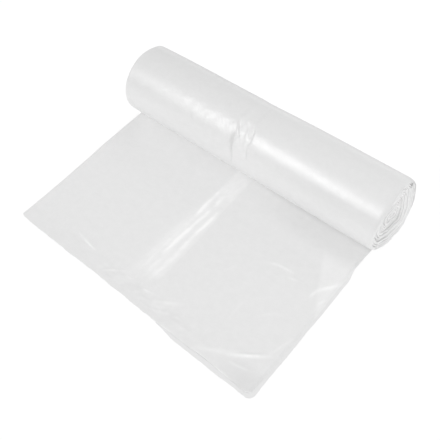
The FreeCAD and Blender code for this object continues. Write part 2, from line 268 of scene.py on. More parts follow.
def remapped(tree, value, old, new, clamp=True):
    """Map Range node of a node tree: the old pair of values becomes the new pair, evenly between."""
    node = tree.nodes.new("ShaderNodeMapRange")
    node.clamp = clamp
    node.inputs["From Min"].default_value, node.inputs["From Max"].default_value = old
    node.inputs["To Min"].default_value, node.inputs["To Max"].default_value = new
    tree.links.new(value, node.inputs["Value"])
    return node.outputs["Result"]


# The ripples of handled film: which part of the noise they take, and their strength in gloss and height.
RIPPLE_CRISP = (0.4, 0.6)
RIPPLE_ON_GLOSS = 1.5
RIPPLE_ON_HEIGHT = 0.8


def film_grain_group():
    """Slow changes of shade and gloss, and the fine creases of handled film, from the flat place."""
    group = bpy.data.node_groups.new("film_grain", "ShaderNodeTree")
    group.interface.new_socket("Flat Place", in_out="INPUT", socket_type="NodeSocketVector")
    group.interface.new_socket("Ripple", in_out="INPUT", socket_type="NodeSocketFloat")
    for name in ("Shade", "Gloss", "Height"):
        group.interface.new_socket(name, in_out="OUTPUT", socket_type="NodeSocketFloat")
    given = group.nodes.new("NodeGroupInput")
    result = group.nodes.new("NodeGroupOutput")

    def noise(cells, detail, fineness=0.5, lean=0.0):
        """Noise with so many cells per unit of the film map, across and along, turned by lean."""
        spread = group.nodes.new("ShaderNodeMapping")
        spread.vector_type = "TEXTURE"
        spread.inputs["Rotation"].default_value = (0, 0, lean)
        spread.inputs["Scale"].default_value = (1 / cells[0], 1 / cells[1], 1)
        group.links.new(given.outputs["Flat Place"], spread.inputs["Vector"])
        grain = group.nodes.new("ShaderNodeTexNoise")
        grain.inputs["Scale"].default_value = 1
        grain.inputs["Detail"].default_value = detail
        grain.inputs["Roughness"].default_value = fineness
        group.links.new(spread.outputs["Vector"], grain.inputs["Vector"])
        return grain.outputs["Fac"]

    crisp = remapped(group, noise(cells=(36, 13), detail=2, lean=-0.5), RIPPLE_CRISP, (0, 1))
    ripple = worked_out(group, "MULTIPLY", crisp, given.outputs["Ripple"])
    gloss = worked_out(group, "MULTIPLY_ADD", ripple, RIPPLE_ON_GLOSS, noise(cells=(5, 4), detail=1))
    height = worked_out(group, "MULTIPLY_ADD", ripple, RIPPLE_ON_HEIGHT, noise(cells=(16, 11), detail=4))
    group.links.new(noise(cells=(12, 14), detail=5, fineness=0.75), result.inputs["Shade"])
    group.links.new(gloss, result.inputs["Gloss"])
    group.links.new(height, result.inputs["Height"])
    return group


film_grain = film_grain_group()
FILM_IOR = 1.75
FILM_MOTTLE = 0.11
FILM_ROUGHNESS = (0.28, 0.36)
CREASE_STRENGTH = 0.5


def film_finish(name, dark, light, most_plies, crease_depth, let_through=0.0):
    """Clear film in plies: from dark grey at most_plies to light at one, glossy, finely creased.

    The eye sees the plies as one milky face, while let_through is the share of the scattered light that
    each face lets pass.
    """
    material = bpy.data.materials.new(name)
    material.use_nodes = True
    tree = material.node_tree
    nodes, links = tree.nodes, tree.links
    surface = nodes["Principled BSDF"]
    surface.inputs["IOR"].default_value = FILM_IOR
    place = nodes.new("ShaderNodeUVMap")
    place.uv_map = "film"
    plies_and_painted_light = nodes.new("ShaderNodeAttribute")
    plies_and_painted_light.attribute_name = "plies_and_painted_light"
    rippled = nodes.new("ShaderNodeAttribute")
    rippled.attribute_name = "ripple"
    grain = nodes.new("ShaderNodeGroup")
    grain.node_tree = film_grain
    links.new(place.outputs["UV"], grain.inputs["Flat Place"])
    links.new(rippled.outputs["Fac"], grain.inputs["Ripple"])
    # The plies attribute holds the real plies plus painted shade and painted highlights, and sets the
    # lightness.
    lightness = remapped(tree, plies_and_painted_light.outputs["Fac"], (most_plies, 1), (0, 1))
    mottle = remapped(tree, grain.outputs["Shade"], (0, 1), (-FILM_MOTTLE, FILM_MOTTLE))
    tint = nodes.new("ShaderNodeMix")
    tint.data_type = "RGBA"
    tint.inputs["A"].default_value = (dark, dark, dark, 1)
    tint.inputs["B"].default_value = (light, light, light, 1)
    links.new(worked_out(tree, "ADD", lightness, mottle), tint.inputs["Factor"])
    links.new(tint.outputs["Result"], surface.inputs["Base Color"])
    roughness = remapped(tree, grain.outputs["Gloss"], (0, 1), FILM_ROUGHNESS, clamp=False)
    links.new(roughness, surface.inputs["Roughness"])
    bump = nodes.new("ShaderNodeBump")
    bump.inputs["Strength"].default_value = CREASE_STRENGTH
    bump.inputs["Distance"].default_value = crease_depth * METRES
    links.new(grain.outputs["Height"], bump.inputs["Height"])
    links.new(bump.outputs["Normal"], surface.inputs["Normal"])
    if let_through:
        path = nodes.new("ShaderNodeLightPath")
        scattered = worked_out(tree, "MAXIMUM",
                               path.outputs["Is Diffuse Ray"], path.outputs["Is Shadow Ray"])
        links.new(remapped(tree, scattered, (0, 1), (1, 1 - let_through)), surface.inputs["Alpha"])
    return material


turns, wound_length = wound_turns()
turns.visible_shadow = False
turns.visible_diffuse = False
turns.data.materials.append(
    film_finish("wound_film", dark=0.1, light=0.95, most_plies=17, crease_depth=0.25))
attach(turns, "root")
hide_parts("bin_bag_roll")

# The outer turn: the same film's last time round the roll, over the back, the top and down the front.
# Its middle is a strip where the gussets don't meet, so two plies only, which sinks in and creases.
# It clings to the turns under it, and its folded edges draw in round the rims of the roll.

WEB_LEFT = -150.0
WEB_RIGHT = 150.0
TURN_THICKNESS = 1.25
LAST_ANGLE = FIRST_BOTTOM + 360
WEB_PLIES = 4
# The rims: how far the right one stands out, over what widths it rounds off and between which angles it
# goes from the first to the second, the left one's width, how far each drops, how much thinner the film
# gets there, and the share of relief and drop that the inner face follows.
RIM_OUT = 1.2
RIM_ROUND_RIGHT = (6.75, 3.6)
RIM_TIGHTENS = (460, 500)
RIM_ROUND_LEFT = 1.4
RIM_DROP_RIGHT = 2.4
RIM_DROP_LEFT = 0.48
RIM_THINNER = 0.35
INNER_FOLLOWS = 0.6
# Where the turn takes its full width, slides out, stands out and draws in, as shares of once round.
WIDENS = (0, 0.22)
SLIDES_OUT = (0, 0.1)
STANDS_OUT = ((0, 0.12), (0.86, 0.98))
DRAWS_IN = (0.02, 0.15)
# Where each rim flares out, near the top: by how much, at which angle and over what spread in degrees.
FLARE_RIGHT = (1.8, 480, 26)
FLARE_LEFT = (2.2, 406, 18)
RIGHT_END_WAVES = [(0.5, 0, 10, 16, 61), (0.2, 0, 10, 5, 62)]
LEFT_END_WAVES = [(0.35, 0, 10, 18, 63)]
# Each half of the roll puffs out as an arch, and the left half has a hollow along the gloss.
PUFF_HEIGHT = 0.45
PUFF_MIDDLE = 2
PUFF_HALF = 76
HOLLOW_DEPTH = 0.3
HOLLOW_POLAR = (127, 14)
HOLLOW_STRETCH = ((-150, -60), (-20, -8))
ROLL_SWELLS = [(0.22, 0, 58, 44, 51), (0.07, 0, 17, 30, 52), (0.02, 0, 2.6, 40, 54)]
RIPPLES = [(0.11, 0, 2.7, 8, 53)]
RIPPLE_TURN = (0.62, 0.78)
RIPPLED_STRETCH = ((-150, -50), (-12, -6))
RIPPLED_SHARE = 0.1
RIPPLE_GLOSS = 0.45
# The sunk band: its lines at polar angles, their waves, how soft they are, and how deep it lies.
BAND_POLAR = np.array([-90, 60, 95, 112, 118, 126, 134, 138, 144, 152, 160, 172, 188, 270])
BAND_LEFT_LINE = np.array([-8.5, -9, -9.5, -10, -8.5, -4.5, -0.8, -5, -8.5, -6.3, -5, -3, -4, -8])
BAND_RIGHT_LINE = np.array([12, 7, 8, 9, 12, 12.5, 13, 12.5, 12, 12.5, 13.5, 15, 15, 12])
BAND_LEFT_WAVES = [(0.5, 0, 10, 7, 55)]
BAND_RIGHT_WAVES = [(0.7, 0, 10, 8, 56)]
BAND_LEFT_SOFT = 0.9
BAND_RIGHT_SOFT = 1.4
BAND_DIP = 0.85
BAND_LEAST = 0.12
BAND_DEEP = ((104, 118), (140, 176))
CRINKLES = [(0.396, 0.4, 3.2, 9, 57), (0.18, -0.5, 2.2, 6, 58)]
# Creases on the roll: start and end as (x, polar angle in degrees), then half width and height in mm.
ROLL_CREASES = [
    (-10.0, 117, -1.5, 134, 0.9, 0.6),
    (-8.8, 127, -6.4, 154, 2.1, -0.75),
    (-6.2, 148, -2.8, 173, 1.0, -0.6),
    (-2.8, 170, -4.2, 190, 0.9, -0.4),
    (6.4, 118, 7.2, 138, 2.5, 0.75),
    (2.2, 116, 4.0, 129, 0.8, -0.35),
    (11.0, 117, 12.3, 137, 0.9, -0.38),
    (15.2, 129, 15.4, 135, 1.1, 0.3),
    (-1.2, 105, 1.6, 109, 1.3, 0.5),
    (-9.5, 88, -9.2, 111, 1.8, -0.12),
    (6.8, 58, 8.5, 112, 1.2, -0.1),
    (-5.0, 66, -4.0, 106, 1.6, 0.14),
    (7.6, 140, 11.6, 152, 1.0, 0.3),
    (11.6, 145, 13.6, 162, 0.9, -0.4),
    (-4.0, 120, 1.0, 130, 0.6, 0.3),
    (-5.5, 124, -1.5, 133, 0.5, -0.3),
    (-2.0, 142, 3.5, 158, 1.4, 0.2),
    (111, 92, 109, 103, 0.9, 0.13),
    (114, 97, 112, 106, 0.7, 0.1),
    (143, 92, 146, 108, 1.0, 0.12),
    (147, 96, 149, 114, 0.9, 0.16),
    (99, 146, 107, 132, 0.9, 0.14),
    (128, 150, 136, 136, 0.9, 0.1),
    (-128, 66, -124, 76, 1.2, -0.1),
    (-62, 138, -54, 150, 1.3, -0.12),
]
# The shade as plies: crests get a painted highlight and troughs painted shade, the film is painted darker
# towards the left, and painted shade lies below the gloss and over the back.
CREST_HIGHLIGHT_PLIES = -1.8
TROUGH_SHADE_PLIES = 3.2
BAND_PLIES = -0.2
SHADE_PLIES_PER_MM = -0.002
BELOW_GLOSS_SHADE_PLIES = 1.1
BELOW_GLOSS = (136, 143)
BELOW_GLOSS_FADES = (150, 170)
BACK_SHADE_PLIES = 2.6
BACK = (46, 66)
# The rims get a painted highlight: plies taken off, and over how many mm, and the right one more so at two
# places.
RIM_HIGHLIGHT_RIGHT = (0.4, 0.9)
RIM_HIGHLIGHT_RIGHT_MORE = 2.0
RIM_HIGHLIGHT_BELOW_TOP = (476, 512)
RIM_HIGHLIGHT_LOW_BACK = (380, 340)
RIM_HIGHLIGHT_LEFT = (0.9, 0.6)


def plateau(value, rise, fall):
    """1 between two pairs of values and 0 outside them, with a smooth step over each pair."""
    return smooth_step(*rise, value) * (1 - smooth_step(*fall, value))


def stations(*stretches):
    """Places in order: each stretch, given as its start, end and number of steps, is cut evenly."""
    places = [np.linspace(start, end, steps, endpoint=False) for start, end, steps in stretches]
    return np.concatenate([*places, [stretches[-1][1]]])


def tapered_ridges(across, along, lines):
    """Sum of ridges: each is a bell across its line, highest in the middle of it and low at both ends."""
    total = np.zeros(np.broadcast(across, along).shape)
    for x0, y0, x1, y1, half_width, height in lines:
        run_x, run_y = x1 - x0, y1 - y0
        part = np.clip(((across - x0) * run_x + (along - y0) * run_y) / (run_x**2 + run_y**2), 0, 1)
        away = (across - x0 - part * run_x) ** 2 + (along - y0 - part * run_y) ** 2
        total += height * np.exp(-away / half_width**2) * (0.25 + 0.75 * np.sin(np.pi * part))
    return total


def roll_relief(x, angle):
    """How far the outer turn stands out: a puff in each half, slow swells, tight ripples and the band.

    The creases are added as tapered ridges. With the relief come the plies, with painted highlights and
    painted shade, and the ripple of each point.
    """
    polar = angle - 360
    arc = np.radians(angle) * ROLL_TOP / 2
    rippled = plateau(x, *RIPPLED_STRETCH)
    relief = PUFF_HEIGHT * np.clip(1 - ((np.abs(x - PUFF_MIDDLE) - PUFF_HALF) / PUFF_HALF) ** 2, 0, 1)
    relief = relief - HOLLOW_DEPTH * bell(polar, *HOLLOW_POLAR) * plateau(x, *HOLLOW_STRETCH)
    turned_x = RIPPLE_TURN[0] * x + RIPPLE_TURN[1] * arc
    turned_arc = RIPPLE_TURN[0] * arc - RIPPLE_TURN[1] * x
    ripples = swells(turned_x, turned_arc, RIPPLES) * (RIPPLED_SHARE + (1 - RIPPLED_SHARE) * rippled)
    relief = relief + swells(x, arc, ROLL_SWELLS) + ripples
    left_line = np.interp(polar, BAND_POLAR, BAND_LEFT_LINE) + swells(0, arc, BAND_LEFT_WAVES)
    right_line = np.interp(polar, BAND_POLAR, BAND_RIGHT_LINE) + swells(0, arc, BAND_RIGHT_WAVES)
    in_band = plateau(x, (left_line - BAND_LEFT_SOFT, left_line + BAND_LEFT_SOFT),
                      (right_line - BAND_RIGHT_SOFT, right_line + BAND_RIGHT_SOFT))
    sunk = (BAND_LEAST + (1 - BAND_LEAST) * plateau(polar, *BAND_DEEP)) * in_band
    relief = relief - (BAND_DIP - swells(x, arc, CRINKLES)) * sunk
    creases = [(x0, np.radians(p0) * ROLL_TOP / 2, x1, np.radians(p1) * ROLL_TOP / 2, wide, high)
               for x0, p0, x1, p1, wide, high in ROLL_CREASES]
    ridges = tapered_ridges(x, np.radians(polar) * ROLL_TOP / 2, creases)
    # Painted darker towards the left, painted highlights on crests and painted shade in troughs.
    plies_and_painted_light = WEB_PLIES + SHADE_PLIES_PER_MM * x + BAND_PLIES * sunk
    plies_and_painted_light = plies_and_painted_light + CREST_HIGHLIGHT_PLIES * np.clip(ridges, 0, 1) + TROUGH_SHADE_PLIES * np.clip(-ridges, 0, 1)
    # Painted shade in a band below the gloss, and painted shade over the back.
    below_gloss_shade = smooth_step(*BELOW_GLOSS, polar) * (1 - 0.6 * smooth_step(*BELOW_GLOSS_FADES, polar))
    to_the_right = 0.2 + 0.8 * smooth_step(0, 110, x)
    plies_and_painted_light = plies_and_painted_light + BELOW_GLOSS_SHADE_PLIES * below_gloss_shade * to_the_right * (1 - in_band)
    plies_and_painted_light = plies_and_painted_light + BACK_SHADE_PLIES * (1 - smooth_step(*BACK, polar))
    return relief + ridges, plies_and_painted_light, RIPPLE_GLOSS + (1 - RIPPLE_GLOSS) * rippled


def outer_turn():
    """Last turn of the spiral from the floor round to above the leaf, moved out by its relief.

    The rims draw in by their drop times 1 - sqrt(1 - t^2), with t from 0 inside to 1 at the very edge.
    """
    place = stations((WEB_LEFT, -146, 8), (-146, -18, 88), (-18, 22, 56), (22, 144, 82),
                     (144, WEB_RIGHT, 12))
    angle = stations((FIRST_BOTTOM, 420, 48), (420, 560, 96), (560, LAST_ANGLE, 30))
    place, angle = np.meshgrid(place, angle, indexing="ij")
    turned = (angle - FIRST_BOTTOM) / 360
    share = (place - WEB_LEFT) / (WEB_RIGHT - WEB_LEFT)
    arc = np.radians(angle) * ROLL_TOP / 2
    widened = smooth_step(*WIDENS, turned)
    right_end = WEB_RIGHT + (ROLL_RIGHT_END + RIM_OUT - WEB_RIGHT) * widened
    right_end = right_end + FLARE_RIGHT[0] * bell(angle, *FLARE_RIGHT[1:]) + swells(0, arc, RIGHT_END_WAVES)
    right_end = right_end + slid_out(angle) * smooth_step(*SLIDES_OUT, turned)
    left_end = WEB_LEFT + (ROLL_LEFT_END - WEB_LEFT) * widened + swells(0, arc, LEFT_END_WAVES)
    left_end = left_end - FLARE_LEFT[0] * bell(angle, *FLARE_LEFT[1:])
    x = left_end + (right_end - left_end) * share
    bottoms = np.array([0, OUTER_PITCH, OUTER_PITCH * 2])
    y, z, out_y, out_z = wound_path(np.minimum(angle, LAST_ANGLE - 0.01), bottoms)
    relief, plies_and_painted_light, ripple = roll_relief(x, angle)
    relief = relief * plateau(turned, *STANDS_OUT)
    wide, tight = RIM_ROUND_RIGHT
    rim_round_right = wide + (tight - wide) * smooth_step(*RIM_TIGHTENS, angle)
    depth_right = np.clip(1 - (right_end - x) / rim_round_right, 0, 1)
    depth_left = np.clip(1 - (x - left_end) / RIM_ROUND_LEFT, 0, 1)
    drawn_in = RIM_DROP_RIGHT * (1 - np.sqrt(1 - depth_right**2))
    drawn_in = drawn_in + RIM_DROP_LEFT * (1 - np.sqrt(1 - depth_left**2))
    lift = relief - drawn_in * smooth_step(*DRAWS_IN, turned)
    outer = np.stack([x, y + lift * out_y, np.maximum(z + lift * out_z, 0)], axis=-1)
    depth = TURN_THICKNESS - RIM_THINNER * np.maximum(depth_right, depth_left) - INNER_FOLLOWS * lift
    inner = np.stack([x, y - depth * out_y, z - depth * out_z], axis=-1)
    # Painted highlights along both rims, stronger on the right below the top and low at the back.
    more = np.maximum(smooth_step(*RIM_HIGHLIGHT_BELOW_TOP, angle), smooth_step(*RIM_HIGHLIGHT_LOW_BACK, angle))
    rim_highlight_right = RIM_HIGHLIGHT_RIGHT[0] + RIM_HIGHLIGHT_RIGHT_MORE * more
    plies_and_painted_light = plies_and_painted_light - rim_highlight_right * bell(x, right_end, RIM_HIGHLIGHT_RIGHT[1])
    plies_and_painted_light = plies_and_painted_light - RIM_HIGHLIGHT_LEFT[0] * bell(x, left_end, RIM_HIGHLIGHT_LEFT[1])
    return closed_film("outer_turn", outer, inner, np.stack([place, arc], axis=-1), plies_and_painted_light, ripple)


turn = outer_turn()
turn.data.materials.append(
    film_finish("taut_film", dark=0.585, light=0.915, most_plies=8, crease_depth=0.16, let_through=0.92))
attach(turn, "root")
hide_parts("bin_bag_roll")

# The loose leaf: the first bag of the roll, unrolled flat over the floor in front of it. It is four
# plies thick at the gussets and two in the middle band, heat sealed across near its end, which puckers
# it, and torn off along the perforations beyond the seal.

LEAF_LENGTH = 202.0
LEAF_BACK = 1.5
LEAF_HEIGHT = 0.9
LEAF_LEAST = 0.18
LEAF_SWELLS = [(0.28, 0, 55, 48, 71), (0.1, 0.5, 16, 22, 72), (0.03, -0.3, 4.5, 7, 73)]
LEAF_SIDE_WAVES = [(0.8, 0, 34, 10, 84), (0.25, 0, 11, 10, 85)]
LEAF_NARROWED = 1.6
NARROWS = (-40, -190)
RIGHT_SIDE = (110, 150)
LEFT_SIDE = (-150, -110)
# The torn edge: how far out it lies at the left and at the right, its waves and its skirt.
TORN_LEFT = -195.5
TORN_RIGHT = -200.0
TORN_WAVES = [(0.9, 0, 26, 10, 81), (0.35, 0, 5, 10, 82), (0.12, 0, 1.4, 10, 83)]
WORN_CORNER = 3.2
WORN_FROM = (143, 151)
LEFT_CORNER = 1.6
LEFT_CORNER_ENDS = (-150, -146)
SKIRT = (2, 20)
SKIRT_DROP = 0.35
SKIRT_WAVES = [(0.16, 0, 7, 14, 77)]
TORN_LIFT = 0.4
TORN_LIFT_REACH = 11
# The middle band: its lines, their waves, how soft they are, how deep it lies and how far it widens.
LEAF_BAND = (-8.6, 13.5)
LEAF_BAND_WAVES = ([(0.7, 0, 10, 18, 74)], [(1.5, 0, 10, 30, 75)])
LEAF_BAND_SOFT = (0.8, 1.0)
LEAF_BAND_DIP = 0.22
LEAF_BAND_SPREAD = 0.03
# The seal: a shallow groove with waves and puckers.
SEAL_LINE = -180.0
SEAL_WAVES = [(0.6, 0, 26, 10, 76)]
SEAL_DEPTH = 0.08
SEAL_DEEPER = [(0.1, 0, 13, 10, 70)]
SEAL_HALF_WIDTH = 1.1
PUCKER_SPACING = 7.5
PUCKER_HALF_WIDTH = 0.9
# The sides: a soft fold stands up as a low bead, given as its height, its distance inside the edge and
# its half width, and outside it the web falls off to the floor.
SIDE_BEAD = (0.22, 2.6, 1.2)
SIDE_DROP = 0.75
SIDE_DROP_WIDTH = 3
SIDE_LIFT = [(0.15, 0, 30, 26, 79)]
SIDE_LIFT_REACH = 7
# Creases of the leaf: start and end as (x, y), then half width and height in mm.
LEAF_CREASES = [
    (-87, -175, -66, -178, 0.8, 0.3),
    (-73, -177.6, -56, -179.8, 0.8, 0.6),
    (-35, -191, -26, -184, 0.8, 0.5),
    (-27, -184.6, -15, -177.5, 0.9, 0.28),
    (-12, -181.3, -3, -180.2, 0.9, 0.28),
    (9, -181.8, 19, -180.6, 1.0, 0.4),
    (27, -186, 49, -171.5, 1.8, 0.35),
    (80, -199, 128, -172, 2.2, 0.32),
    (112, -184, 142, -162.5, 1.7, 0.7),
    (124, -177, 134, -168, 0.8, 0.6),
    (116, -178.5, 137, -163.5, 0.7, -0.35),
    (140, -161, 146.5, -138, 1.0, 0.3),
    (117, -188, 137, -183.5, 0.9, 0.45),
    (83, -90, 92, -86, 1.2, 0.3),
    (88, -87, 108, -84.3, 1.1, 0.5),
    (107, -91.5, 117, -88.7, 1.0, 0.35),
    (134, -96, 136.5, -84, 1.3, 0.6),
    (136, -86, 149, -70, 1.7, 0.7),
    (143, -99, 149, -88, 1.2, 0.3),
    (107, -141, 122, -126, 1.3, 0.16),
    (90, -130, 90.5, -160, 1.3, 0.12),
    (55, -123, 62, -111, 1.0, 0.14),
]
# Painted highlights of streaks in the middle band: start and end as (x, y), then half width in mm and plies
# taken off.
STREAK_HIGHLIGHTS = [
    (-7.5, -50, -7.6, -68, 1.8, 1.4),
    (-8.0, -66, -7.2, -89, 2.0, 2.5),
    (0.0, -57, 0.1, -70, 1.9, 1.6),
    (0.1, -75, -0.2, -94, 1.7, 1.9),
    (-1.1, -88, -1.4, -110, 1.6, 1.3),
    (-1.3, -103, -2.2, -132, 2.1, 2.6),
    (-2.0, -124, -2.4, -143, 1.6, 1.4),
    (8.3, -74, 8.2, -94, 1.8, 1.5),
    (8.1, -84, 7.7, -107, 1.9, 2.0),
    (7.7, -101, 7.4, -128, 1.7, 1.4),
    (8.4, -116, 9.0, -142, 2.4, 0.9),
    (9.2, -134, 6.8, -172, 2.8, 1.0),
    (0.6, -132, -0.3, -173, 2.6, 0.7),
    (-9.5, -80, -10.5, -176, 6.0, 0.9),
    (1.0, -30, 2.0, -64, 9.0, 0.6),
]
STREAK_STRENGTH = 1.15
STREAK_GRAIN = [(0.3, -0.3, 1.8, 4, 69)]
# The leaf's shade as plies, each with where it lies: in x, in y or in mm from the torn edge.
CLEAR_BAND_PLIES = 0.5
CLEAR_BAND_STARTS = (-172, -162)
# A painted sheen over the slack corner by the right side.
SLACK_CORNER_SHEEN_PLIES = 0.8
SLACK_CORNER_FROM = (110, -42)
SLACK_CORNER_LEAN = 0.543
PUCKER_SHADE = [(0.6, -0.8, 4.5, 2.4, 68)]
PUCKER_LINE = (-188, 7)
PUCKER_STRETCH = ((-60, -20), (60, 90))
# Crests of the leaf get a painted highlight and troughs painted shade.
LEAF_CREST_HIGHLIGHT_PLIES = -3.0
LEAF_TROUGH_SHADE_PLIES = 2.0
BEYOND_SEAL_PLIES = 0.25
BEYOND_SEAL = (10, 30)
# Painted shade at the nip under the roll.
NIP_SHADE_PLIES = 2.6
NIP = (-26, -18)
RIGHT_CORNER_PLIES = 0.9
RIGHT_CORNER = ((104, 138), (-174, -192))
RIGHT_SHADE_PLIES = 0.9
RIGHT_SHADE = ((20, 90), (-58, -38))
TORN_PLIES = -2.4
TORN_PALE_WIDTH = 0.9
TORN_PALE_FROM = (30, 60)
TORN_BREAKS = [(1, 0, 9, 10, 67)]


def seal_puckers():
    """Short creases across the seal, with seeded places, lengths and leans."""
    chance = np.random.default_rng(21)
    places = np.arange(-144, 146, PUCKER_SPACING)
    count = len(places)
    places = places + chance.uniform(-3, 3, count)
    starts = SEAL_LINE - chance.uniform(1, 6, count)
    ends = SEAL_LINE + chance.uniform(2, 9, count)
    leans = chance.uniform(-3, 3, count)
    heights = chance.uniform(0.03, 0.13, count)
    return [(x, start, x + lean, end, PUCKER_HALF_WIDTH, height)
            for x, start, end, lean, height in zip(places, starts, ends, leans, heights)]


def leaf_relief(x, y, from_torn):
    """Height of the leaf's top over its underside, how far that is lifted off the floor, and its plies.

    Swells, the sunk band, the seal's groove, the creases, the skirt at the torn edge and the beads at
    the sides are added up. Crests and streaks get painted highlights, and the nip under the roll gets
    painted shade.
    """
    band_left, band_right = (line + swells(0, y, waves) for line, waves in zip(LEAF_BAND, LEAF_BAND_WAVES))
    band_right = band_right - LEAF_BAND_SPREAD * (y + 100)
    in_band = plateau(x, (band_left - LEAF_BAND_SOFT[0], band_left + LEAF_BAND_SOFT[0]),
                      (band_right - LEAF_BAND_SOFT[1], band_right + LEAF_BAND_SOFT[1]))
    height = LEAF_HEIGHT + swells(x, y, LEAF_SWELLS) - LEAF_BAND_DIP * in_band
    seal_depth = SEAL_DEPTH + np.clip(swells(x, 0, SEAL_DEEPER), 0, None)
    height = height - seal_depth * bell(y, SEAL_LINE + swells(x, 0, SEAL_WAVES), SEAL_HALF_WIDTH)
    ridges = tapered_ridges(x, y, LEAF_CREASES + seal_puckers())
    skirt = 1 - smooth_step(*SKIRT, from_torn)
    height = height + ridges + skirt * (swells(x, y, SKIRT_WAVES) - SKIRT_DROP)
    side = np.minimum(x - WEB_LEFT, WEB_RIGHT - x)
    height = height + SIDE_BEAD[0] * bell(side, *SIDE_BEAD[1:])
    height = height - SIDE_DROP * (1 - smooth_step(0, SIDE_DROP_WIDTH, side))
    lift = TORN_LIFT * np.clip(rolling_noise(x, 0, 24, 10, 78), 0, 1) * np.exp(-from_torn / TORN_LIFT_REACH)
    lift = lift + np.clip(swells(x, y, SIDE_LIFT), 0, None) * np.exp(-side / SIDE_LIFT_REACH)
    clear_and_painted_light = CLEAR_BAND_PLIES * in_band * smooth_step(*CLEAR_BAND_STARTS, y)
    # The band is really clearer, and painted highlights of streaks are added along it.
    clear_and_painted_light = clear_and_painted_light + tapered_ridges(x, y, STREAK_HIGHLIGHTS)
    clear_and_painted_light = STREAK_STRENGTH * clear_and_painted_light * (1 + swells(x, y, STREAK_GRAIN))
    past_slack_line = x - SLACK_CORNER_FROM[0] - SLACK_CORNER_LEAN * (SLACK_CORNER_FROM[1] - y)
    # A painted sheen over the slack corner by the right side.
    slack_corner_sheen = smooth_step(0, 5, past_slack_line) * smooth_step(-40, -62, y)
    pucker = bell(y, *PUCKER_LINE) * plateau(x, *PUCKER_STRETCH)
    clear_and_painted_light = clear_and_painted_light + SLACK_CORNER_SHEEN_PLIES * slack_corner_sheen + pucker * swells(x, y, PUCKER_SHADE)
    beyond_seal = 1 - smooth_step(*BEYOND_SEAL, from_torn)
    # Painted shade at the nip under the roll.
    nip_shade = smooth_step(*NIP, y) * (0.3 + 0.7 * smooth_step(-10, 50, x))
    right_corner = smooth_step(*RIGHT_CORNER[0], x) * smooth_step(*RIGHT_CORNER[1], y)
    right_shade = smooth_step(*RIGHT_SHADE[0], x) * smooth_step(*RIGHT_SHADE[1], y) * (1 - slack_corner_sheen)
    broken = np.clip(0.5 + swells(x, 0, TORN_BREAKS), 0, 1)
    torn_line = bell(from_torn, 0, TORN_PALE_WIDTH) * smooth_step(*TORN_PALE_FROM, x) * broken
    plies_and_painted_light = WEB_PLIES - clear_and_painted_light
    # Painted highlights on crests and painted shade in troughs.
    plies_and_painted_light = plies_and_painted_light + LEAF_CREST_HIGHLIGHT_PLIES * np.clip(ridges, 0, 1) + LEAF_TROUGH_SHADE_PLIES * np.clip(-ridges, 0, 1)
    plies_and_painted_light = plies_and_painted_light + BEYOND_SEAL_PLIES * beyond_seal + NIP_SHADE_PLIES * nip_shade + RIGHT_CORNER_PLIES * right_corner
    plies_and_painted_light = plies_and_painted_light + TORN_PLIES * torn_line + RIGHT_SHADE_PLIES * right_shade
    return np.maximum(height, LEAF_LEAST), lift, plies_and_painted_light


def loose_leaf():
    """Flat web from the torn edge to under the roll, its top raised by its relief.

    The torn edge is a slanting line with waves, and the sides move in and out with waves of their own.
    """
    place = stations((WEB_LEFT, -146, 7), (-146, -16, 86), (-16, 20, 44), (20, 146, 84),
                     (146, WEB_RIGHT, 7))
    from_torn = stations((0, 3, 4), (3, 44, 56), (44, 170, 104), (170, LEAF_LENGTH, 16))
    place, from_torn = np.meshgrid(place, from_torn, indexing="ij")
    share = (place - WEB_LEFT) / (WEB_RIGHT - WEB_LEFT)
    torn = TORN_LEFT + (TORN_RIGHT - TORN_LEFT) * share + swells(place, 0, TORN_WAVES)
    torn = torn + WORN_CORNER * smooth_step(*WORN_FROM, place) ** 2
    torn = torn + LEFT_CORNER * (1 - smooth_step(*LEFT_CORNER_ENDS, place))
    y = torn + (LEAF_BACK - torn) * from_torn / LEAF_LENGTH
    side_wave = swells(y, 0, LEAF_SIDE_WAVES)
    narrowed = LEAF_NARROWED * smooth_step(*NARROWS, y)
    x = place + (side_wave - 0.5 * narrowed) * smooth_step(*RIGHT_SIDE, place)
    x = x + (0.6 * side_wave + narrowed) * (1 - smooth_step(*LEFT_SIDE, place))
    height, lift, plies_and_painted_light = leaf_relief(place, y, from_torn)
    outer = np.stack([x, y, lift], axis=-1)
    inner = np.stack([x, y, lift + height], axis=-1)
    return closed_film("loose_leaf", outer, inner, np.stack([place, y], axis=-1), plies_and_painted_light)


leaf = loose_leaf()
leaf.data.materials.append(film_finish("slack_film", dark=0.6, light=0.99, most_plies=8, crease_depth=0.12))
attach(leaf, "root")
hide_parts("bin_bag_roll")

# The slipped ply: the leaf's lowest ply, which has slid out by a few millimetres along the right side
# and the right part of the torn edge. A single ply of clear film, paler than the leaf above it.

PLY_THICKNESS = 0.16
PLY_SIDE = 152.6
PLY_FRONT = -203.3
PLY_HIDDEN = 10.0
PLY_CORNER = 6.0
PLY_FROM_ROLL = -42.0
PLY_LEFT_END = 42.0
PLY_SLIP = 3.5
PLY_ENDS = (22, 30)
PLY_WAVES = [(0.5, 0, 14, 10, 91), (0.15, 0, 3, 10, 92)]
PLY_LIFT = [(0.25, 0, 12, 10, 93)]


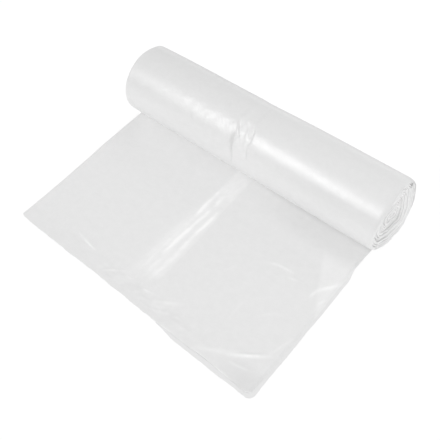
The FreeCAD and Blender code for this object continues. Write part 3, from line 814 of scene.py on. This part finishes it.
def slipped_ply():
    """Strip round the leaf's right front corner: along the side, round the corner, along the torn edge.

    Points lie at their own radius about the corner's centre, which moves along both straight runs. Those
    further in than the corner's radius turn in a sharp corner instead.
    """
    side_length = PLY_FROM_ROLL - PLY_FRONT - PLY_CORNER
    front_length = PLY_SIDE - PLY_LEFT_END - PLY_CORNER
    bend_length = PLY_CORNER * np.pi / 2
    run = stations((0, side_length, 70), (side_length, side_length + bend_length, 12),
                   (side_length + bend_length, side_length + bend_length + front_length, 60))
    across = stations((-PLY_HIDDEN, -1, 5), (-1, 0, 4))[:, None]
    turned = np.clip((run - side_length) / bend_length, 0, 1) * np.pi / 2
    radius = np.maximum(PLY_CORNER + across, 0)
    centre_x = PLY_SIDE + np.minimum(across, -PLY_CORNER)
    centre_y = PLY_FRONT - np.minimum(across, -PLY_CORNER)
    ends = plateau(run, (0, PLY_ENDS[0]), (run[-1] - PLY_ENDS[1], run[-1]))
    reach = ((ends - 1) * PLY_SLIP + swells(run, 0, PLY_WAVES)) * smooth_step(-PLY_CORNER, 0, across)
    x = centre_x + (radius + reach) * np.cos(turned) - np.clip(run - side_length - bend_length, 0, None)
    y = centre_y + np.clip(side_length - run, 0, None) - (radius + reach) * np.sin(turned)
    lift = np.clip(swells(run, 0, PLY_LIFT), 0, None) * smooth_step(-3, 0, across)
    low_face = np.stack([x, y, lift], axis=-1)
    top_face = np.stack([x, y, lift + PLY_THICKNESS], axis=-1)
    flat_place = np.stack([np.broadcast_to(across, x.shape), np.broadcast_to(run, x.shape)], axis=-1)
    ply = closed_film("slipped_ply", top_face, low_face, flat_place, np.ones(x.shape))
    return ply, run[-1]


ply, ply_length = slipped_ply()
ply.data.materials.append(film_finish("single_ply", dark=0.64, light=0.82, most_plies=8, crease_depth=0.1))
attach(ply, "root")

# The floor: a plain white sheet under the object. The camera sees it as half plain white, so that only
# a faint shadow shows, while it bounces the light of white paint.

FLOOR_REACH = 3.0
FLOOR_GAP = 0.0001
FLOOR_PAINT = (0.88, 0.88, 0.88, 1)
FLOOR_GLOW = 1.16
SHADOW_SHARE = 0.5
floor_mesh = bpy.data.meshes.new("floor")
floor_corners = [(-FLOOR_REACH, -FLOOR_REACH), (FLOOR_REACH, -FLOOR_REACH),
                 (FLOOR_REACH, FLOOR_REACH), (-FLOOR_REACH, FLOOR_REACH)]
floor_mesh.from_pydata([(x, y, -FLOOR_GAP) for x, y in floor_corners], [], [(0, 1, 2, 3)])
floor = bpy.data.objects.new("floor", floor_mesh)
bpy.context.scene.collection.objects.link(floor)


def floor_finish():
    """White paint for the light that bounces, mixed half and half with a plain white glow for the eye."""
    material = bpy.data.materials.new("white_floor")
    material.use_nodes = True
    tree = material.node_tree
    nodes, links = tree.nodes, tree.links
    nodes.remove(nodes["Principled BSDF"])
    paint = nodes.new("ShaderNodeBsdfDiffuse")
    paint.inputs["Color"].default_value = FLOOR_PAINT
    white = nodes.new("ShaderNodeEmission")
    white.inputs["Color"].default_value = (1, 1, 1, 1)
    white.inputs["Strength"].default_value = FLOOR_GLOW
    path = nodes.new("ShaderNodeLightPath")
    seen = worked_out(tree, "MAXIMUM", path.outputs["Is Camera Ray"], path.outputs["Is Transmission Ray"])
    mix = nodes.new("ShaderNodeMixShader")
    links.new(worked_out(tree, "MULTIPLY", seen, 1 - SHADOW_SHARE), mix.inputs["Fac"])
    links.new(paint.outputs[0], mix.inputs[1])
    links.new(white.outputs[0], mix.inputs[2])
    links.new(mix.outputs[0], nodes["Material Output"].inputs["Surface"])
    return material


floor_mesh.materials.append(floor_finish())

# The light: an even white studio that is dim to the gloss, a soft lamp high at the back and one low in
# front for plain light, and a strip in front at the left that only draws the gloss along the roll.

WORLD_LIGHT = 0.83
WORLD_SEEN = 1.0
WORLD_GLOSS_LESS = 0.6
world = bpy.data.worlds.new("studio")
bpy.context.scene.world = world
world.use_nodes = True
world_tree = world.node_tree
background = world_tree.nodes["Background"]
background.inputs["Color"].default_value = (1, 1, 1, 1)
world_path = world_tree.nodes.new("ShaderNodeLightPath")
world_level = remapped(world_tree, world_path.outputs["Is Camera Ray"], (0, 1), (WORLD_LIGHT, WORLD_SEEN))
world_level = worked_out(world_tree, "MULTIPLY_ADD", world_path.outputs["Is Glossy Ray"],
                         -WORLD_GLOSS_LESS, world_level)
world_tree.links.new(world_level, background.inputs["Strength"])


def soft_lamp(name, place, target, along, size, power, in_gloss=True, in_shade=True):
    """Rectangular lamp that faces its target, its long side along a line, for plain light or for gloss."""
    light = bpy.data.lights.new(name, "AREA")
    light.shape = "RECTANGLE"
    light.size, light.size_y = size
    light.energy = power
    lamp = bpy.data.objects.new(name, light)
    bpy.context.scene.collection.objects.link(lamp)
    facing = np.array(target) - np.array(place)
    facing = facing / np.linalg.norm(facing)
    side = np.array(along) - np.dot(along, facing) * facing
    side = side / np.linalg.norm(side)
    up = np.cross(side, facing)
    turned = np.eye(4)
    turned[:3, 0], turned[:3, 1], turned[:3, 2], turned[:3, 3] = side, up, -facing, place
    lamp.matrix_world = Matrix(turned.tolist())
    lamp.visible_camera = False
    lamp.visible_diffuse = in_shade
    lamp.visible_glossy = in_gloss


soft_lamp("back_lamp", place=(0.3, 0.95, 1.35), target=(0, -0.06, 0.03), along=(1, 1, 0),
          size=(0.9, 0.9), power=6, in_gloss=False)
soft_lamp("front_lamp", place=(-0.15, -1.6, 0.35), target=(0, -0.04, 0.02), along=(1, 0, 0),
          size=(1.6, 0.7), power=6.9, in_gloss=False)
soft_lamp("strip_lamp", place=(-0.47, -0.9, 0.97), target=(0.04, -0.02, 0.06), along=(0.63, -0.39, -0.13),
          size=(0.75, 0.5), power=5.4, in_shade=False)

# The camera: above and in front, to the right of the middle, as the photograph was taken.

CAMERA_PLACE = (0.29124, -0.34776, 0.53276)
CAMERA_TURN = (35.6567, 4.0007, 40.2620)
SENSOR_WIDTH = 36
FOCAL_LENGTH = 55.06
camera_data = bpy.data.cameras.new("camera")
camera_data.sensor_width = SENSOR_WIDTH
camera_data.lens = FOCAL_LENGTH
camera = bpy.data.objects.new("camera", camera_data)
camera.location = CAMERA_PLACE
camera.rotation_euler = np.radians(CAMERA_TURN)
bpy.context.scene.collection.objects.link(camera)
bpy.context.scene.camera = camera

bpy.context.scene.view_settings.view_transform = "Standard"
